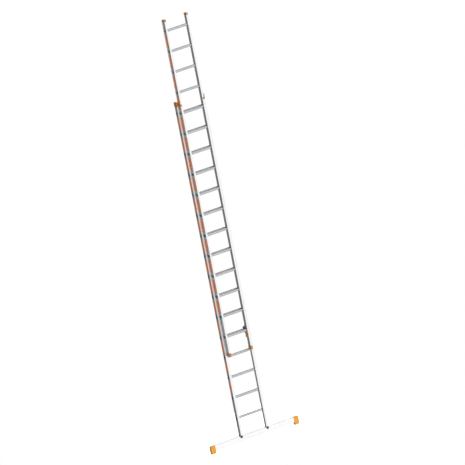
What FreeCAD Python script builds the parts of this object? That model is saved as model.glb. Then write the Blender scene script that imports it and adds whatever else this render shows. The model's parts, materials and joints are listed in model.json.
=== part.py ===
import FreeCAD, Part
import math
import os
from dataclasses import dataclass

# Two-part push-up extension ladder, modelled along its own length, in millimetres.
# +Z runs up the stiles, +X runs along the rungs, -Y faces the climber.
# The origin is on the ground plane, midway between the fly's front face and the base's rear face.

Vec = FreeCAD.Vector
AXIS_X = Vec(1, 0, 0)
AXIS_Y = Vec(0, 1, 0)
AXIS_Z = Vec(0, 0, 1)
CENTRE = Vec(0, 0, 0)

# Rungs
RUNG_COUNT = 16
RUNG_PITCH = 280.0
RUNG_SIZE = 30.0
RUNG_CORNER = 8.0
RUNG_WALL = 1.6
RIB_COUNT = 4
RIB_SPACING = 3.6
RIB_WIDTH = 1.6
RIB_HEIGHT = 0.8
RIB_ROOT = 0.6
BEAD_REACH = 4.0
BEAD_THICKNESS = 3.0
FLARE_REACH = 3.5
FLARE_THICKNESS = 1.5
RUNG_FIT = 0.1

# Stiles
BASE_WIDTH = 430.0
STILE_WIDTH = 25.0
STILE_DEPTH = 58.0
STILE_WALL = 1.8
STILE_CORNER = 2.5
CAVITY_CORNER = 1.2
CHANNEL_MARGIN = 4.5
CHANNEL_DEPTH = 0.5
LIP_REACH = 8.0
LIP_THICKNESS = 3.0
LIP_CORNER = 1.2
RAIL_GAP = 11.0
RUNG_PASS = 2.2
LOWEST_RUNG_UP = 240.0
TOP_MARGIN = 147.0
EXTENDED_RUNGS = 4

# Crossbar and the shoes that carry the base on it
BAR_LENGTH = 1330.0
BAR_HEIGHT = 70.0
BAR_DEPTH = 34.0
BAR_WALL = 2.0
BAR_CORNER = 3.0
BAR_PASS = 1.0
FOOT_HEIGHT = 36.0
SHOE_FLANGE = 10.0
SHOE_SKIRT = 24.0
SHOE_CORNER = 2.0
PLUG_HEIGHT = 45.0
BOLT_DIAMETER = 10.0
BOLT_CLEARANCE = 0.5
BOLT_HEAD_FLATS = 16.0
BOLT_HEAD_HEIGHT = 6.4
BOLT_STAND_OUT = 3.0
NUT_HEIGHT = 8.0
NUT_POCKET = 16.0
WASHER_DIAMETER = 22.0
WASHER_THICKNESS = 2.0

# Moulded caps and guides
MOULDING_FIT = 0.15
CAP_LENGTH = 67.0
CAP_INSERT = 53.0
CAP_WALL = 3.0
CAP_TOP_WALL = 1.8
CAP_CORNER = 6.0
SOLE_WEB = 5.0
TOP_WALL = 2.0
TOP_LID = 4.0
TOP_SKIRT = 20.0
MOULDING_CORNER = 3.0
GUIDE_CAP_PLAY = 4.0
GUIDE_BAND = 24.0
GUIDE_SIDE_PLAY = 2.0
GUIDE_FRONT_PLAY = 1.0
GUIDE_FRONT_WALL = 4.0
GUIDE_FRONT_REACH = 18.0
GUIDE_NECK = 6.0
FOOT_WALL = 3.0
FOOT_SKIRT = 20.0
FOOT_DROP = 28.0

# Latches at the fly's lowest rung
PLATE_THICKNESS = 3.0
PLATE_SIDE = 5.0
PLATE_ABOVE = 84.0
PLATE_BELOW = 108.0
PLATE_CORNER = 6.0
WINDOW_PLAY = 1.0
PIN_DIAMETER = 10.0
PIN_PLAY = 0.05
PIN_HEAD_DIAMETER = 17.0
PIN_HEAD_THICKNESS = 3.0
SIDE_PLAY = 0.4
REST_PLAY = 0.3
HOOK_THICKNESS = 6.0
HOOK_HUB = 16.0
HOOK_PIVOT_UP = 46.0
HOOK_PIVOT_BACK = 9.5
HOOK_REAR_PLAY = 0.8
HOOK_NOSE = 10.0
HOOK_NOSE_DROP = 4.0
HOOK_ARM = 19.0
HOOK_CORNER = 3.0
CATCH_THICKNESS = 8.0
CATCH_HUB = 11.0
CATCH_PIVOT_DOWN = 90.0
CATCH_PIVOT_BACK = 15.5
CATCH_TOP_PLAY = 1.2
CATCH_REACH_UNDER = 13.0
CATCH_NOSE_HEIGHT = 13.0
CATCH_CORNER = 2.0
TAB_REACH = 18.0
TAB_THICKNESS = 9.0
SPRING_WIRE = 1.2
SPRING_TURNS = 3
SPRING_TURN_STEP = 1.0
SPRING_RADIUS = 7.2
SPRING_ROOM = 0.4

# Blind rivets
RIVET_DIAMETER = 5.0
RIVET_HEAD_DIAMETER = 10.0
RIVET_HEAD_HEIGHT = 1.6
RIVET_FIT = 0.05
RIVET_GRIP = 6.0
RIVET_MARGIN = 12.0
FLUSH_HEAD_DIAMETER = 8.6

# Places worked out from the sizes above
STACK_OFFSET = STILE_DEPTH / 2 + RUNG_SIZE / 2 + RIB_HEIGHT + RUNG_PASS
BAR_TOP = FOOT_HEIGHT + BAR_HEIGHT
BASE_BOTTOM = BAR_TOP + SHOE_FLANGE
STILE_LENGTH = LOWEST_RUNG_UP + (RUNG_COUNT - 1) * RUNG_PITCH + TOP_MARGIN
LIFT = EXTENDED_RUNGS * RUNG_PITCH


@dataclass(frozen=True)
class Section:
    """One ladder section: where its right-hand stile stands."""
    name: str
    outer_x: float
    centre_y: float
    bottom_z: float
    lip_at_front: bool

    @property
    def inner_x(self):
        return self.outer_x - STILE_WIDTH

    @property
    def front_y(self):
        return self.centre_y - STILE_DEPTH / 2

    @property
    def rear_y(self):
        return self.centre_y + STILE_DEPTH / 2

    @property
    def middle_x(self):
        return self.outer_x - STILE_WIDTH / 2

    @property
    def top_z(self):
        return self.bottom_z + STILE_LENGTH

    @property
    def face_x(self):
        """Floor of the shallow label channel in the outer face."""
        return self.outer_x - CHANNEL_DEPTH

    def rung_z(self, index):
        return self.bottom_z + LOWEST_RUNG_UP + index * RUNG_PITCH


BASE = Section("base", BASE_WIDTH / 2, STACK_OFFSET / 2, BASE_BOTTOM, True)
FLY = Section("fly", BASE.inner_x - RAIL_GAP, -STACK_OFFSET / 2, BASE_BOTTOM + LIFT, False)
BAR_FRONT = FLY.rear_y + BAR_PASS
BAR_CENTRE_Y = BAR_FRONT + BAR_DEPTH / 2
LATCH_Z = FLY.rung_z(0)
LATCH_X = FLY.inner_x - PLATE_THICKNESS - SIDE_PLAY
RUNG_EDGE = RUNG_SIZE / 2 + RIB_HEIGHT


# Outlines and solids

def rounded_face(corners):
    """Flat face in the XY plane from corners (x, y, radius), each rounded by its radius."""
    points = [Vec(x, y, 0) for x, y, radius in corners]
    joints = []
    for index, corner in enumerate(points):
        radius = corners[index][2]
        back = (points[index - 1] - corner).normalize()
        ahead = (points[(index + 1) % len(points)] - corner).normalize()
        half = back.getAngle(ahead) / 2
        run = radius / math.tan(half)
        bisector = (back + ahead).normalize()
        middle = corner + bisector * (radius / math.sin(half) - radius)
        joints.append((corner + back * run, middle, corner + ahead * run, radius))
    edges = []
    for index, (start, middle, end, radius) in enumerate(joints):
        if radius:
            edges.append(Part.Arc(start, middle, end).toShape())
        edges.append(Part.makeLine(end, joints[(index + 1) % len(joints)][0]))
    return Part.Face(Part.Wire(edges))


def rounded_block(low, high, radius):
    """Upright block between two corners, with its four vertical edges rounded."""
    corners = [(low[0], low[1], radius), (high[0], low[1], radius),
               (high[0], high[1], radius), (low[0], high[1], radius)]
    block = rounded_face(corners).extrude(AXIS_Z * (high[2] - low[2]))
    block.translate(AXIS_Z * low[2])
    return block


def box(low, high):
    """Plain box between two corners."""
    return Part.makeBox(high[0] - low[0], high[1] - low[1], high[2] - low[2], Vec(*low))


def bar_along_x(depth, height, radius, start_x, end_x, centre_y, centre_z):
    """Rectangular bar with rounded edges lying along X."""
    corners = [(-height / 2, -depth / 2, radius), (height / 2, -depth / 2, radius),
               (height / 2, depth / 2, radius), (-height / 2, depth / 2, radius)]
    bar = rounded_face(corners).extrude(AXIS_Z * (end_x - start_x))
    bar.rotate(CENTRE, AXIS_Y, 90)
    bar.translate(Vec(start_x, centre_y, centre_z))
    return bar


def side_plate(corners, inner_x, thickness):
    """Plate standing in the YZ plane, from corners (y, z, radius), thickness along +X."""
    plate = rounded_face(corners).extrude(AXIS_Z * thickness)
    plate.rotate(CENTRE, Vec(1, 1, 1), 120)
    plate.translate(AXIS_X * inner_x)
    return plate


def pin_along_x(diameter, start_x, end_x, y, z):
    """Round pin along X."""
    return Part.makeCylinder(diameter / 2, end_x - start_x, Vec(start_x, y, z), AXIS_X)


def rod_along_z(diameter, start_z, end_z, x, y):
    """Round rod along Z."""
    return Part.makeCylinder(diameter / 2, end_z - start_z, Vec(x, y, start_z), AXIS_Z)


def hexagon(flats, height, x, y, z):
    """Upright hexagonal prism by its width across flats."""
    radius = flats / math.sqrt(3)
    points = [Vec(x + radius * math.cos(math.radians(60 * turn)),
                  y + radius * math.sin(math.radians(60 * turn)), z) for turn in range(7)]
    return Part.Face(Part.makePolygon(points)).extrude(AXIS_Z * height)


def mirrored(shape):
    """The left-hand copy of a right-hand piece."""
    return shape.mirror(CENTRE, AXIS_X)


# Blind rivets: the head lies on a face and the shank goes through the walls behind it

def rivet(face_x, y, z, outward, grip):
    """Rivet along X. outward is +1 or -1, the way its head faces."""
    shank, head, dome = RIVET_DIAMETER / 2, RIVET_HEAD_DIAMETER / 2, RIVET_HEAD_HEIGHT
    ball_radius = (head ** 2 + dome ** 2) / (2 * dome)
    tilt = math.asin(head / ball_radius) / 2
    on_dome = Vec(ball_radius * math.sin(tilt), 0, dome - ball_radius * (1 - math.cos(tilt)))
    points = [Vec(0, 0, dome), Vec(0, 0, -grip), Vec(shank, 0, -grip), Vec(shank, 0, 0), Vec(head, 0, 0)]
    edges = [Part.makeLine(start, end) for start, end in zip(points, points[1:])]
    edges.append(Part.Arc(points[-1], on_dome, points[0]).toShape())
    turned = Part.Face(Part.Wire(edges)).revolve(CENTRE, AXIS_Z, 360)
    turned.rotate(CENTRE, AXIS_Y, 90 * outward)
    turned.translate(Vec(face_x, y, z))
    return turned


def flush_rivet(face_x, y, z, outward, grip):
    """Countersunk rivet along X, its head level with the face."""
    shank, head = RIVET_DIAMETER / 2, FLUSH_HEAD_DIAMETER / 2
    points = [Vec(0, 0, 0), Vec(0, 0, -grip), Vec(shank, 0, -grip), Vec(shank, 0, shank - head),
              Vec(head, 0, 0), Vec(0, 0, 0)]
    turned = Part.Face(Part.makePolygon(points)).revolve(CENTRE, AXIS_Z, 360)
    turned.rotate(CENTRE, AXIS_Y, 90 * outward)
    turned.translate(Vec(face_x, y, z))
    return turned


def countersink(face_x, y, z, outward):
    """Cone cut for the head of the flush rivet at the same place."""
    shank, head = RIVET_DIAMETER / 2 + RIVET_FIT, FLUSH_HEAD_DIAMETER / 2 + RIVET_FIT
    return Part.makeCone(head, shank, head - shank, Vec(face_x, y, z), AXIS_X * -outward)


def rivet_hole(face_x, y, z, outward, grip):
    """Hole for the shank of the rivet at the same place."""
    radius = RIVET_DIAMETER / 2 + RIVET_FIT
    return Part.makeCylinder(radius, grip + RIVET_FIT, Vec(face_x, y, z), AXIS_X * -outward)


def cap_rivet_places():
    """Rivets through the outer wall of the fly's top caps."""
    z = FLY.top_z - TOP_SKIRT / 2
    return [(FLY.outer_x + TOP_WALL, FLY.centre_y, z, 1, RIVET_GRIP + TOP_WALL)]


def foot_rivet_places():
    """Rivets through the inner wall of the fly's foot guides."""
    z = FLY.bottom_z + FOOT_SKIRT / 2
    face_x = FLY.inner_x - FOOT_WALL
    return [(face_x, FLY.centre_y + side * RIVET_MARGIN, z, -1, RIVET_GRIP + FOOT_WALL) for side in (-1, 1)]


def guide_rivet_places():
    """Rivets through the outer wall of the base's top guides."""
    z = BASE.top_z - (TOP_SKIRT + GUIDE_CAP_PLAY) / 2
    face_x = BASE.outer_x + TOP_WALL
    return [(face_x, BASE.centre_y + side * RIVET_MARGIN, z, 1, RIVET_GRIP + TOP_WALL) for side in (-1, 1)]


def shoe_rivet_places():
    """Rivets through the stile's outer wall into the shoe's plug."""
    z = BASE_BOTTOM + PLUG_HEIGHT / 2
    return [(BASE.face_x, BASE.centre_y + side * RIVET_MARGIN, z, 1, RIVET_GRIP) for side in (-1, 1)]


def plate_rivet_places():
    """Flush rivets at the corners of the latch plates, clear of the levers that sweep over them."""
    face_x = FLY.inner_x - PLATE_THICKNESS
    upper = LATCH_Z + PLATE_ABOVE - RIVET_MARGIN
    lower = LATCH_Z - PLATE_BELOW + RIVET_MARGIN
    front = FLY.front_y + PLATE_SIDE + RIVET_MARGIN
    rear = FLY.rear_y - PLATE_SIDE - RIVET_MARGIN / 2
    return [(face_x, y, z, -1, RIVET_GRIP) for y, z in ((front, upper), (rear, upper), (front, lower))]


def rivets(places, flush_places=()):
    """Right-hand and left-hand rivets at the given places."""
    right = [rivet(*place) for place in places] + [flush_rivet(*place) for place in flush_places]
    return right + [mirrored(shape) for shape in right]


def without_rivet_holes(shape, places):
    """The piece with its rivet holes drilled."""
    for place in places:
        shape = shape.cut(rivet_hole(*place))
    return shape


# Stiles and rungs

def stile_outline(section, play):
    """Outer outline of the right-hand stile, grown by play for the pieces that fit round it."""
    inner, outer = section.inner_x - play, section.outer_x + play
    front, rear = section.front_y - play, section.rear_y + play
    channel = STILE_DEPTH / 2 - CHANNEL_MARGIN - play
    floor = outer - CHANNEL_DEPTH
    centre = section.centre_y
    lip = LIP_THICKNESS + 2 * play
    corner = STILE_CORNER
    face = [(outer, centre - channel, 0), (floor, centre - channel + CHANNEL_DEPTH, 0),
            (floor, centre + channel - CHANNEL_DEPTH, 0), (outer, centre + channel, 0)]
    if section.lip_at_front:
        tip = inner - LIP_REACH
        return ([(tip, front, LIP_CORNER), (outer, front, corner)] + face
                + [(outer, rear, corner), (inner, rear, corner),
                   (inner, front + lip, LIP_CORNER), (tip, front + lip, LIP_CORNER)])
    tip = outer + LIP_REACH
    return ([(inner, front, corner), (outer, front, corner)] + face
            + [(outer, rear - lip, LIP_CORNER), (tip, rear - lip, LIP_CORNER),
               (tip, rear, LIP_CORNER), (inner, rear, corner)])


def stile_prism(section, play, low_z, high_z):
    """The stile's full outline as a solid between two heights."""
    prism = rounded_face(stile_outline(section, play)).extrude(AXIS_Z * (high_z - low_z))
    prism.translate(AXIS_Z * low_z)
    return prism


def cavity(section, play, low_z, high_z):
    """The hollow inside the stile, or with play the plug that fits it."""
    inset = STILE_WALL + play
    low = (section.inner_x + inset, section.front_y + inset, low_z)
    high = (section.outer_x - inset, section.rear_y - inset, high_z)
    return rounded_block(low, high, CAVITY_CORNER)


def make_stile(section, rivet_places):
    """Right-hand stile: hollow box extrusion with a guide lip, pierced for its rungs."""
    stile = stile_prism(section, 0, section.bottom_z, section.top_z)
    stile = stile.cut(cavity(section, 0, section.bottom_z, section.top_z))
    hole_size = RUNG_SIZE + 2 * RUNG_FIT
    holes = [bar_along_x(hole_size, hole_size, RUNG_CORNER, section.inner_x - 1, section.outer_x + 1,
                         section.centre_y, section.rung_z(index)) for index in range(RUNG_COUNT)]
    return without_rivet_holes(stile.cut(Part.makeCompound(holes)), rivet_places)


def rung_ring(reach, start_x, end_x, y, z):
    """Solid collar of a rung that stands reach beyond its section."""
    size = RUNG_SIZE + 2 * reach
    return bar_along_x(size, size, RUNG_CORNER + reach, start_x, end_x, y, z)


def rung_ribs(half_span, y, z):
    """Ribs along the rung's tread, underside, front and back."""
    first = -(RIB_COUNT - 1) * RIB_SPACING / 2
    half_height = RUNG_SIZE / 2 + RIB_HEIGHT
    half_width = RIB_WIDTH / 2
    root = RUNG_SIZE / 2 - RIB_ROOT
    ribs = []
    for index in range(RIB_COUNT):
        across = first + index * RIB_SPACING
        for low, high in ((root, half_height), (-half_height, -root)):
            ribs.append(box((-half_span, y + across - half_width, z + low),
                            (half_span, y + across + half_width, z + high)))
            ribs.append(box((-half_span, y + low, z + across - half_width),
                            (half_span, y + high, z + across + half_width)))
    return ribs


def make_rung(section):
    """The section's lowest rung: ribbed tube with an inner bead and an outer flare at each stile."""
    y, z = section.centre_y, section.rung_z(0)
    inner, face = section.inner_x, section.face_x
    tube = rung_ring(0, -face, face, y, z)
    collars = [rung_ring(BEAD_REACH, inner - BEAD_THICKNESS, inner, y, z),
               rung_ring(FLARE_REACH, face, face + FLARE_THICKNESS, y, z)]
    collars += [mirrored(collar) for collar in collars]
    body = tube.multiFuse(collars + rung_ribs(inner - BEAD_THICKNESS, y, z))
    bore_size = RUNG_SIZE - 2 * RUNG_WALL
    end_x = face + FLARE_THICKNESS
    bore = bar_along_x(bore_size, bore_size, RUNG_CORNER - RUNG_WALL, -end_x, end_x, y, z)
    return body.cut(bore).removeSplitter()


# Crossbar, shoes and end caps

def make_crossbar():
    """Box tube across the foot of the base, drilled for its two upright bolts."""
    centre_z = FOOT_HEIGHT + BAR_HEIGHT / 2
    half = BAR_LENGTH / 2
    tube = bar_along_x(BAR_DEPTH, BAR_HEIGHT, BAR_CORNER, -half, half, BAR_CENTRE_Y, centre_z)
    hollow = bar_along_x(BAR_DEPTH - 2 * BAR_WALL, BAR_HEIGHT - 2 * BAR_WALL, BAR_CORNER - BAR_WALL,
                         -half, half, BAR_CENTRE_Y, centre_z)
    tube = tube.cut(hollow)
    hole_size = BOLT_DIAMETER + 2 * BOLT_CLEARANCE
    for side in (-1, 1):
        x = side * BASE.middle_x
        tube = tube.cut(rod_along_z(hole_size, FOOT_HEIGHT, BAR_TOP, x, BAR_CENTRE_Y))
    return tube


def make_shoe():
    """Right-hand shoe: a plug up inside the stile, over a saddle that straddles the crossbar."""
    saddle = rounded_block((BASE.inner_x, BASE.front_y, BAR_TOP - SHOE_SKIRT),
                           (BASE.outer_x, BASE.rear_y, BASE_BOTTOM), SHOE_CORNER)
    slot = box((BASE.inner_x, BAR_FRONT - MOULDING_FIT, BAR_TOP - SHOE_SKIRT),
               (BASE.outer_x, BAR_FRONT + BAR_DEPTH + MOULDING_FIT, BAR_TOP))
    plug = cavity(BASE, MOULDING_FIT, BASE_BOTTOM, BASE_BOTTOM + PLUG_HEIGHT)
    shoe = saddle.cut(slot).fuse(plug).removeSplitter()
    plug_top = BASE_BOTTOM + PLUG_HEIGHT
    hole_size = BOLT_DIAMETER + 2 * BOLT_CLEARANCE
    shoe = shoe.cut(rod_along_z(hole_size, BAR_TOP, plug_top, BASE.middle_x, BAR_CENTRE_Y))
    pocket = hexagon(BOLT_HEAD_FLATS + 2 * MOULDING_FIT, NUT_POCKET, BASE.middle_x, BAR_CENTRE_Y,
                     plug_top - NUT_POCKET)
    return without_rivet_holes(shoe.cut(pocket), shoe_rivet_places())


def make_end_cap():
    """Right-hand crossbar end cap: a sleeve on the bar, deepened below it into the foot."""
    half = BAR_LENGTH / 2
    outer_x = half + CAP_LENGTH - CAP_INSERT
    inner_x = outer_x - CAP_LENGTH
    depth = BAR_DEPTH + 2 * CAP_WALL
    height = BAR_TOP + CAP_TOP_WALL
    body = bar_along_x(depth, height, CAP_CORNER, inner_x, outer_x, BAR_CENTRE_Y, height / 2)
    pocket = bar_along_x(BAR_DEPTH + 2 * MOULDING_FIT, BAR_HEIGHT + 2 * MOULDING_FIT, BAR_CORNER,
                         inner_x, half, BAR_CENTRE_Y, FOOT_HEIGHT + BAR_HEIGHT / 2)
    recess = box((inner_x + SOLE_WEB, BAR_CENTRE_Y - depth / 2 + SOLE_WEB, SOLE_WEB),
                 (outer_x - SOLE_WEB, BAR_CENTRE_Y + depth / 2 - SOLE_WEB, FOOT_HEIGHT - SOLE_WEB))
    return body.cut(pocket).cut(recess)


def make_crossbar_bolts():
    """Two hexagon-head bolts, heads under the bar."""
    bolts = []
    nut_seat = BASE_BOTTOM + PLUG_HEIGHT - NUT_POCKET
    tip_z = nut_seat + NUT_HEIGHT + BOLT_STAND_OUT
    head_top = FOOT_HEIGHT - WASHER_THICKNESS
    for side in (-1, 1):
        x = side * BASE.middle_x
        shank = rod_along_z(BOLT_DIAMETER, head_top, tip_z, x, BAR_CENTRE_Y)
        head = hexagon(BOLT_HEAD_FLATS, BOLT_HEAD_HEIGHT, x, BAR_CENTRE_Y, head_top - BOLT_HEAD_HEIGHT)
        bolts.append(shank.fuse(head).removeSplitter())
    return bolts


def make_crossbar_washers():
    """Plain washers between the bolt heads and the bar."""
    hole_size = BOLT_DIAMETER + 2 * BOLT_CLEARANCE
    washers = []
    for side in (-1, 1):
        x = side * BASE.middle_x
        disc = rod_along_z(WASHER_DIAMETER, FOOT_HEIGHT - WASHER_THICKNESS, FOOT_HEIGHT, x, BAR_CENTRE_Y)
        washers.append(disc.cut(rod_along_z(hole_size, 0, BAR_TOP, x, BAR_CENTRE_Y)))
    return washers


def make_crossbar_nuts():
    """Captive nuts in the tops of the shoe plugs."""
    seat = BASE_BOTTOM + PLUG_HEIGHT - NUT_POCKET
    nuts = []
    for side in (-1, 1):
        x = side * BASE.middle_x
        nut = hexagon(BOLT_HEAD_FLATS, NUT_HEIGHT, x, BAR_CENTRE_Y, seat)
        thread = rod_along_z(BOLT_DIAMETER + 2 * PIN_PLAY, seat, seat + NUT_HEIGHT, x, BAR_CENTRE_Y)
        nuts.append(nut.cut(thread))
    return nuts


# Caps and guides on the stiles

def make_fly_cap():
    """Right-hand top cap of the fly; its rear face rests on the wall."""
    low, high = FLY.top_z - TOP_SKIRT, FLY.top_z + TOP_LID
    body = rounded_block((FLY.inner_x - TOP_WALL, FLY.front_y - TOP_WALL, low),
                         (FLY.outer_x + TOP_WALL, FLY.rear_y + TOP_WALL, high), MOULDING_CORNER)
    body = body.cut(stile_prism(FLY, MOULDING_FIT, low, FLY.top_z))
    return without_rivet_holes(body, cap_rivet_places())


def make_top_guide():
    """Right-hand top guide: caps the base stile, then wraps round the fly stile lower down."""
    top, rear = BASE.top_z, BASE.rear_y + GUIDE_FRONT_PLAY + GUIDE_FRONT_WALL
    side_x = FLY.outer_x + GUIDE_SIDE_PLAY
    band_top = top - TOP_SKIRT - GUIDE_CAP_PLAY
    hood = rounded_block((BASE.inner_x - TOP_WALL, BASE.front_y - TOP_WALL, band_top),
                         (BASE.outer_x + TOP_WALL, rear, top + TOP_LID), MOULDING_CORNER)
    band_low = band_top - GUIDE_BAND
    front_y = FLY.front_y - GUIDE_FRONT_PLAY
    tip_y = front_y - GUIDE_FRONT_WALL
    neck_y = BASE.front_y - GUIDE_NECK
    collar = rounded_block((BASE.inner_x - TOP_WALL, neck_y, band_low),
                           (BASE.outer_x + TOP_WALL, rear, band_top), MOULDING_CORNER)
    arm = box((side_x, tip_y, band_low), (BASE.inner_x - TOP_WALL, BASE.front_y, band_top))
    root = box((BASE.inner_x - TOP_WALL, neck_y, band_low), (BASE.inner_x, BASE.front_y, band_top))
    finger = box((side_x - GUIDE_FRONT_REACH, tip_y, band_low), (side_x, front_y, band_top))
    guide = hood.multiFuse([collar, arm, root, finger]).removeSplitter()
    guide = guide.cut(stile_prism(BASE, MOULDING_FIT, band_low, top))
    return without_rivet_holes(guide, guide_rivet_places())


def make_foot_guide():
    """Right-hand foot guide: closes the fly stile's end and backs the end of its lip."""
    low, high = FLY.bottom_z - FOOT_DROP, FLY.bottom_z + FOOT_SKIRT
    cup = rounded_block((FLY.inner_x - FOOT_WALL, FLY.front_y - FOOT_WALL, low),
                        (FLY.outer_x + TOP_WALL, FLY.rear_y, high), MOULDING_CORNER)
    ledge = box((FLY.outer_x, FLY.rear_y - LIP_THICKNESS, low),
                (FLY.outer_x + LIP_REACH, FLY.rear_y, FLY.bottom_z))
    foot = cup.fuse(ledge).removeSplitter()
    foot = foot.cut(stile_prism(FLY, MOULDING_FIT, FLY.bottom_z, high))
    return without_rivet_holes(foot, foot_rivet_places())


# Latches: a plate, a drop hook and a sprung catch on each fly stile, at its lowest rung

def hook_pivot():
    return FLY.centre_y + HOOK_PIVOT_BACK, LATCH_Z + HOOK_PIVOT_UP


def catch_pivot():
    return FLY.centre_y + CATCH_PIVOT_BACK, LATCH_Z - CATCH_PIVOT_DOWN


def make_latch_plate():
    """Right-hand latch plate, with a window round the rung's bead."""
    front, rear = FLY.front_y + PLATE_SIDE, FLY.rear_y - PLATE_SIDE / 2
    low, high = LATCH_Z - PLATE_BELOW, LATCH_Z + PLATE_ABOVE
    corners = [(front, low, PLATE_CORNER), (rear, low, PLATE_CORNER),
               (rear, high, PLATE_CORNER), (front, high, PLATE_CORNER)]
    inner_x = FLY.inner_x - PLATE_THICKNESS
    plate = side_plate(corners, inner_x, PLATE_THICKNESS)
    plate = plate.cut(rung_ring(BEAD_REACH + WINDOW_PLAY, inner_x, FLY.inner_x, FLY.centre_y, LATCH_Z))
    for y, z in (hook_pivot(), catch_pivot()):
        plate = plate.cut(pin_along_x(PIN_DIAMETER + 2 * PIN_PLAY, inner_x, FLY.inner_x, y, z))
    for face_x, y, z, outward, _ in plate_rivet_places():
        plate = plate.cut(countersink(face_x, y, z, outward))
    return without_rivet_holes(plate, plate_rivet_places())


def make_hook():
    """Right-hand drop hook: its arm lies over the base rung and its nose hangs behind it."""
    pivot_y, pivot_z = hook_pivot()
    rung_y = BASE.centre_y
    saddle_z = LATCH_Z + RUNG_EDGE + REST_PLAY
    front_y = rung_y - RUNG_EDGE - REST_PLAY
    nose_y = rung_y + RUNG_EDGE + HOOK_REAR_PLAY
    rear_y = nose_y + HOOK_NOSE
    arm_z = saddle_z + HOOK_ARM
    tip_z = LATCH_Z - HOOK_NOSE_DROP
    corners = [(pivot_y, pivot_z - HOOK_HUB, 0), (front_y, saddle_z, HOOK_CORNER),
               (nose_y, saddle_z, HOOK_CORNER), (nose_y, tip_z, HOOK_CORNER),
               (nose_y + HOOK_NOSE / 2, tip_z - HOOK_NOSE / 2, HOOK_CORNER),
               (rear_y, tip_z, HOOK_CORNER), (rear_y, arm_z - HOOK_NOSE / 2, HOOK_CORNER),
               (rear_y - HOOK_NOSE / 2, arm_z, HOOK_CORNER), (pivot_y, pivot_z + HOOK_HUB, 0)]
    inner_x = LATCH_X - HOOK_THICKNESS
    hook = side_plate(corners, inner_x, HOOK_THICKNESS)
    hub = pin_along_x(2 * HOOK_HUB, inner_x, LATCH_X, pivot_y, pivot_z)
    hook = hook.fuse(hub).removeSplitter()
    return hook.cut(pin_along_x(PIN_DIAMETER + 2 * PIN_PLAY, inner_x, LATCH_X, pivot_y, pivot_z))


def make_catch():
    """Right-hand safety catch: a lever whose nose stands under the base rung, with a thumb tab."""
    pivot_y, pivot_z = catch_pivot()
    ceiling_z = LATCH_Z - RUNG_EDGE - CATCH_TOP_PLAY
    sweep = ceiling_z - pivot_z
    nose_y = BASE.centre_y - RUNG_EDGE + CATCH_REACH_UNDER
    nose_top = pivot_z + math.sqrt(sweep ** 2 - (nose_y - pivot_y) ** 2)
    front_y, rear_y = pivot_y - CATCH_HUB, pivot_y + CATCH_HUB
    shoulder_z = nose_top - CATCH_NOSE_HEIGHT
    waist_z = shoulder_z - (nose_y - rear_y)
    tab_top = pivot_z + CATCH_HUB
    inner_x = LATCH_X - CATCH_THICKNESS
    corners = [(front_y, pivot_z, 0), (rear_y, pivot_z, 0), (rear_y, waist_z, CATCH_CORNER),
               (nose_y, shoulder_z, CATCH_CORNER), (nose_y, ceiling_z, 0), (front_y, ceiling_z, 0)]
    tab = [(front_y - TAB_REACH, tab_top, CATCH_CORNER),
           (front_y - TAB_REACH, tab_top - TAB_THICKNESS, CATCH_CORNER),
           (front_y + CATCH_HUB, pivot_z - CATCH_HUB / 2, 0),
           (front_y + CATCH_HUB, tab_top + TAB_THICKNESS, 0)]
    lever = side_plate(corners, inner_x, CATCH_THICKNESS)
    reach = pin_along_x(2 * sweep, inner_x, LATCH_X, pivot_y, pivot_z)
    hub = pin_along_x(2 * CATCH_HUB, inner_x, LATCH_X, pivot_y, pivot_z)
    lever = lever.common(reach).multiFuse([hub, side_plate(tab, inner_x, CATCH_THICKNESS)]).removeSplitter()
    lever = lever.cut(pin_along_x(PIN_DIAMETER + 2 * PIN_PLAY, inner_x, LATCH_X, pivot_y, pivot_z))
    spring_depth = (SPRING_TURNS + 1) * SPRING_WIRE + SPRING_ROOM
    spring_size = 2 * SPRING_RADIUS + SPRING_WIRE + 2 * SPRING_ROOM
    return lever.cut(pin_along_x(spring_size, LATCH_X - spring_depth, LATCH_X, pivot_y, pivot_z))


def make_pin(pivot, thickness):
    """Right-hand pivot pin: held in the plate, with a head that keeps the lever on."""
    head_x = LATCH_X - thickness - SIDE_PLAY
    shank = pin_along_x(PIN_DIAMETER, head_x, FLY.inner_x, *pivot)
    head = pin_along_x(PIN_HEAD_DIAMETER, head_x - PIN_HEAD_THICKNESS, head_x, *pivot)
    return shank.fuse(head).removeSplitter()


def make_catch_spring():
    """Right-hand torsion spring, its close turns round the catch's pin inside the catch."""
    pivot_y, pivot_z = catch_pivot()
    first_x = LATCH_X - SPRING_WIRE
    turns = [Part.makeTorus(SPRING_RADIUS, SPRING_WIRE / 2,
                            Vec(first_x - turn * SPRING_TURN_STEP, pivot_y, pivot_z), AXIS_X)
             for turn in range(SPRING_TURNS)]
    return turns[0].multiFuse(turns[1:])


# Every node of the ladder

def handed(name, right_hand):
    """Left and right nodes of a piece that comes in a pair."""
    return {name + "_right": [right_hand], name + "_left": [mirrored(right_hand)]}


def rung_nodes(section):
    """One node per rung, numbered from the bottom."""
    lowest = make_rung(section)
    nodes = {}
    for index in range(RUNG_COUNT):
        rung = lowest.copy()
        rung.translate(AXIS_Z * (index * RUNG_PITCH))
        nodes[f"{section.name}_rung_{index + 1:02d}"] = [rung]
    return nodes


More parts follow.
